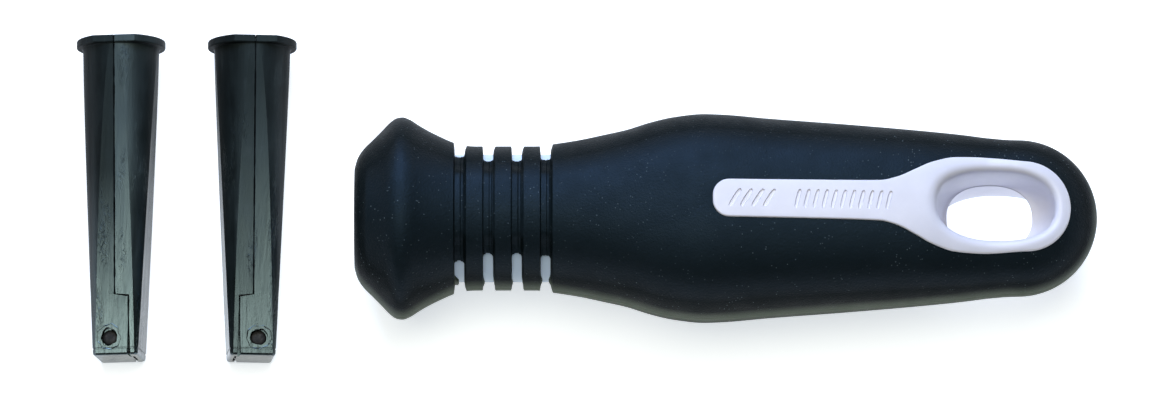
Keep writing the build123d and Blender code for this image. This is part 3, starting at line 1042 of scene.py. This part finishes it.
def rubber_material():
    """Near-black elastomer with a navy sheen: satin, fine-grained, dusty, with a band round its sides at
    mid-height painted lighter olive as a painted reflection of the pale table.
    """
    look = Material("navy_black_rubber")
    look.set(IOR=1.45, Specular_Tint=(0.42, 0.68, 1.0, 1.0))
    look.set(Specular_IOR_Level=look.grazing(0.18, 0.40, 0.31, 0.06))
    tone = look.ramp(
        look.noise(90.0, 5.0, 0.6),
        (0.25, (0.0020, 0.0042, 0.0046)),
        (0.75, (0.0036, 0.0064, 0.0074)),
    )
    # Painted reflection: a band round the sides at mid-height, about the parting line, is painted lighter
    # olive where the pale table would be reflected.
    height = look.axis("Z")
    mid_height_band = look.math(
        "MULTIPLY",
        look.span(height, 0.0105, 0.0147, 0.0, 1.0),
        look.span(height, 0.0155, 0.0190, 1.0, 0.0),
    )
    painted_table_reflection = look.mix(look.math("MULTIPLY", mid_height_band, 0.8), tone, (0.125, 0.150, 0.110))
    specks = look.math("MAXIMUM", dust(look, 1400.0, 0.17, 0.5), dust(look, 560.0, 0.075, 0.48))
    faint = look.math("MULTIPLY", specks, look.span(look.noise(60.0, 2.0), 0.4, 0.62, 0.15, 0.8))
    look.set(Base_Color=look.mix(faint, painted_table_reflection, (0.13, 0.17, 0.19)))
    look.set(Roughness=look.span(look.noise(240.0, 4.0), 0.3, 0.7, 0.46, 0.58))
    look.bump(
        (look.noise(2600.0, 3.0, 0.7), 0.00016, 0.7),
        (look.noise(700.0, 3.0), 0.00008, 0.25),
        (look.noise(260.0, 3.0), 0.00012, 0.25),
        (specks, 0.00005, 0.4),
    )
    return look.material


def core_material():
    """Pale lavender-silver moulded plastic, satin, with painted shade: darker and bluer towards the neck, and
    a dark line painted along its seam.
    """
    look = Material("lavender_silver_plastic")
    look.set(IOR=1.5, Subsurface_Weight=0.08, Subsurface_Radius=(0.0012, 0.0012, 0.0016))
    tone = look.ramp(
        look.noise(140.0, 4.0, 0.6),
        (0.3, (0.69, 0.685, 0.77)),
        (0.7, (0.75, 0.745, 0.83)),
    )
    # Painted shade: towards the neck the plastic is painted darker and bluer, as it looks deep in the neck
    # windows.
    in_neck = look.span(look.axis("X"), -0.002, 0.006, 0.6, 0.0)
    tone_with_neck_shade = look.mix(in_neck, tone, (0.40, 0.63, 0.85))
    # Painted shade: a dark brownish line is painted along the mid-plane where the core's halves meet, seen in
    # the hang hole, where shade falls in the joint.
    from_seam = look.math("ABSOLUTE", look.math("SUBTRACT", look.axis("Z"), float(NOSE[2] * MM)), 0.0)
    seam = look.span(from_seam, 0.00015, 0.00032, 1.0, 0.0)
    painted_seam_shade = look.math("MULTIPLY", seam, look.span(look.axis("X"), 0.0, 0.01, 0.0, 0.75))
    look.set(Base_Color=look.mix(painted_seam_shade, tone_with_neck_shade, (0.10, 0.09, 0.085)))
    look.set(Roughness=look.span(look.noise(700.0, 3.0), 0.3, 0.7, 0.3, 0.42))
    look.bump((look.noise(4200.0, 2.0), 0.00002, 0.3), (look.noise(180.0, 2.0), 0.0001, 0.12))
    return look.material


def insert_material(end_shine, flange_shine, fade):
    """Black filled nylon with flow marks; its shine fades from the narrow end to a place in metres."""
    look = Material("black_filled_nylon")
    look.set(IOR=1.8, Specular_Tint=(0.66, 0.92, 1.0, 1.0))
    along = look.stretched((300.0, 28.0, 300.0))
    streaks = look.noise(1.0, 5.0, 0.62, along, 1.4)
    fine = look.noise(1.0, 4.0, 0.6, look.stretched((1300.0, 220.0, 1300.0)))
    blotch = look.noise(170.0, 4.0, 0.6)
    mixed = look.math("ADD", look.math("MULTIPLY", streaks, 0.6), look.math("MULTIPLY", blotch, 0.4))
    tone = look.ramp(
        mixed,
        (0.40, (0.0030, 0.0040, 0.0042)),
        (0.56, (0.0070, 0.0095, 0.0100)),
        (0.72, (0.0260, 0.0330, 0.0340)),
    )
    satin = look.span(look.axis("Y"), -0.026, 0.014, 0.18, 0.52)
    uneven = look.span(mixed, 0.35, 0.7, -0.04, 0.12)
    look.set(Base_Color=tone, Roughness=look.math("ADD", satin, uneven))
    shine = look.span(look.axis("Y"), -0.026, fade, end_shine, flange_shine)
    rolled = look.math("MAXIMUM", look.grazing(0.2, 0.5, 1.0, 0.2), look.grazing(0.8, 0.95, 0.2, 1.0))
    end_face = look.span(look.axis("Y"), -0.0273, -0.0271, 0.5, 0.0)
    look.set(Specular_IOR_Level=look.math("MULTIPLY", shine, look.math("MAXIMUM", rolled, end_face)))
    pits = look.noise(1.0, 3.0, 0.7, look.stretched((1500.0, 600.0, 1500.0)), 2.0)
    patches = look.span(look.noise(1.0, 2.0, 0.5, look.stretched((330.0, 60.0, 330.0))), 0.55, 0.66, 0.0, 1.0)
    scars = look.math("MULTIPLY", look.span(pits, 0.5, 0.64, 0.0, 1.0), patches)
    look.bump(
        (streaks, 0.00016, 0.4),
        (fine, 0.00006, 0.5),
        (scars, 0.00008, 0.5),
        (look.noise(2400.0, 2.0), 0.00002, 0.3),
    )
    return look.material


def pin_material():
    """Dull black plastic, rougher than the insert round it."""
    look = Material("dull_black_pin")
    tone = look.ramp(look.noise(900.0, 4.0), (0.35, (0.003, 0.003, 0.003)), (0.7, (0.012, 0.012, 0.012)))
    look.set(IOR=1.45, Base_Color=tone, Roughness=look.span(look.noise(1500.0, 3.0), 0.3, 0.7, 0.5, 0.75))
    look.bump((look.noise(1300.0, 4.0), 0.00015, 0.8))
    return look.material


def floor_material():
    """A plain white table that gives off a little light of its own."""
    look = Material("white_table")
    tone = look.ramp(look.noise(3.0, 2.0), (0.3, (0.86, 0.86, 0.865)), (0.7, (0.87, 0.87, 0.87)))
    look.set(Base_Color=tone, Roughness=0.9, Specular_IOR_Level=0.0)
    look.set(Emission_Color=(0.91, 0.96, 1.0, 1.0), Emission_Strength=0.70)
    return look.material


def paint(piece, material):
    piece.data.materials.clear()
    piece.data.materials.append(material)


# ---------------------------------------------------------------- putting the pieces in place


def place_piece(piece, name, body, slot, material, *nodes):
    piece.name = name
    piece.data.name = name
    paint(piece, material)
    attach(piece, body)
    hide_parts(*nodes)


def build_handle():
    plastic = core_material()
    rubber = rubber_material()
    place_piece(make_rubber_grip(), "grip_rubber_skin", "handle", "grip_rubber", rubber, "rubber_grip")
    for side, half in ((1, "upper"), (-1, "lower")):
        core = join("core", [make_trim_half(side), make_core_body(side)])
        place_piece(core, f"core_{half}_moulding", "handle", "core_plastic", plastic, f"core_{half}_half")


def build_insert(name, tang, seed, tongue_shine, clevis_shine):
    tongue_half, clevis_half, pin = make_insert(name, tang, seed)
    halves = (
        (tongue_half, "tongue", name, tongue_shine),
        (clevis_half, "clevis", f"{name}_jaw", clevis_shine),
    )
    for piece, kind, body, shine in halves:
        nylon = insert_material(*shine)
        place_piece(piece, f"{name}_{kind}_side", body, "insert_nylon", nylon, f"{name}_{kind}_half")
    place_piece(pin, f"{name}_pin", f"{name}_jaw", "pin_plastic", pin_material(), f"{name}_hinge_pin")


# ---------------------------------------------------------------- table, light and camera

CAMERA_ELEVATION = math.radians(76.0)
CAMERA_DISTANCE = 2.5
CAMERA_AIM = Vector(handle_to_world([(38.7, 1.5, 0.0)])[0])
CAMERA_LENS = 453.0
TABLE_DROP = 0.00002


def make_table():
    size = 1.5
    corners = ((-size, -size), (size, -size), (size, size), (-size, size))
    table = new_object("table", [(x, y, -TABLE_DROP) for x, y in corners], [(0, 1, 2, 3)])
    paint(table, floor_material())


def add_light(name, place, aim, width, depth, power, colour):
    data = bpy.data.lights.new(name, "AREA")
    data.shape = "RECTANGLE"
    data.size = width
    data.size_y = depth
    data.energy = power
    data.color = colour
    light = bpy.data.objects.new(name, data)
    light.location = place
    light.rotation_euler = (Vector(aim) - Vector(place)).to_track_quat("-Z", "Y").to_euler()
    bpy.context.scene.collection.objects.link(light)


def light_and_camera():
    world = bpy.data.worlds.new("studio")
    world.use_nodes = True
    background = world.node_tree.nodes["Background"]
    background.inputs["Color"].default_value = (0.9, 1.0, 0.95, 1.0)
    background.inputs["Strength"].default_value = 0.04
    bpy.context.scene.world = world
    add_light("key", (-0.12, 0.80, 0.78), (0, 0, 0), 0.7, 0.55, 13.6, (0.54, 0.68, 1.0))
    add_light("top", (-0.10, 0.10, 1.3), (0, 0, 0), 1.3, 0.75, 11.5, (1.0, 0.98, 0.86))
    bpy.context.scene.view_settings.view_transform = "Standard"

    data = bpy.data.cameras.new("camera")
    data.lens = CAMERA_LENS
    data.clip_end = 10
    camera = bpy.data.objects.new("camera", data)
    back = Vector((0, -math.cos(CAMERA_ELEVATION), math.sin(CAMERA_ELEVATION)))
    camera.location = CAMERA_AIM + back * CAMERA_DISTANCE
    camera.rotation_euler = (-back).to_track_quat("-Z", "Y").to_euler()
    bpy.context.scene.collection.objects.link(camera)
    bpy.context.scene.camera = camera


build_handle()
build_insert(
    "small_insert", SMALL_TANG, seed=11, tongue_shine=(0.85, 0.40, 0.020), clevis_shine=(0.80, 0.11, 0.004)
)
build_insert(
    "large_insert", LARGE_TANG, seed=23, tongue_shine=(0.42, 0.10, 0.020), clevis_shine=(0.58, 0.14, 0.020)
)
make_table()
light_and_camera()
